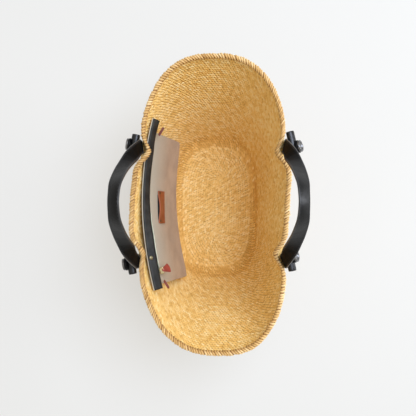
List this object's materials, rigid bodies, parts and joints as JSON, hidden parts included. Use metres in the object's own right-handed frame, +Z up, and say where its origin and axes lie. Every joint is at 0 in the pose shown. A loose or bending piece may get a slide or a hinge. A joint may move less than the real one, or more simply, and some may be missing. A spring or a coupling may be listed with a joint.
{
  "type": "straw basket bag",
  "caption": "Woven straw basket bag, open at the top, with two flat leather handles held by leather toggles and studs, and a zipped canvas pouch hung inside one wall",
  "frame": {"origin": "the floor plane under the middle of the whole object's box, on the base's underside", "axes": "+Z up, +Y along the bag, +X across it towards the plain wall; the pouch hangs inside the -X wall"},
  "size_m": [0.2834, 0.47, 0.4424],
  "materials": {
    "straw": "twined natural straw, dry and slightly shiny",
    "leather": "black smooth leather with a low sheen",
    "gunmetal": "brushed dark metal",
    "canvas": "plain beige canvas",
    "zip_tape": "woven zip tape with fine teeth, grey green",
    "tan_leather": "smooth orange brown leather, bare",
    "red_leather": "smooth dark red leather",
    "brass": "polished pale gold"
  },
  "bodies": {
    "root": {"basket_body": "straw", "rim_border": "straw", "handle_strap_right": "leather", "handle_strap_left": "leather", "toggle_right_back": "leather", "toggle_right_front": "leather", "toggle_left_back": "leather", "toggle_left_front": "leather", "washer_right_back": "leather", "washer_right_front": "leather", "washer_left_back": "leather", "washer_left_front": "leather", "stud_right_back": "gunmetal", "stud_right_front": "gunmetal", "stud_left_back": "gunmetal", "stud_left_front": "gunmetal", "pouch_back": "canvas", "pouch_front": "canvas", "strip_backing": "canvas", "pouch_top_strip": "leather", "zip_tape": "zip_tape", "zip_slider": "brass", "zip_puller": "red_leather", "zip_end_tab_back": "red_leather", "zip_end_tab_front": "red_leather", "label_patch": "tan_leather", "strip_rivet_back": "brass", "strip_rivet_front": "brass", "label_rivet_back": "brass", "label_rivet_front": "brass"}
  },
  "joints": []
}
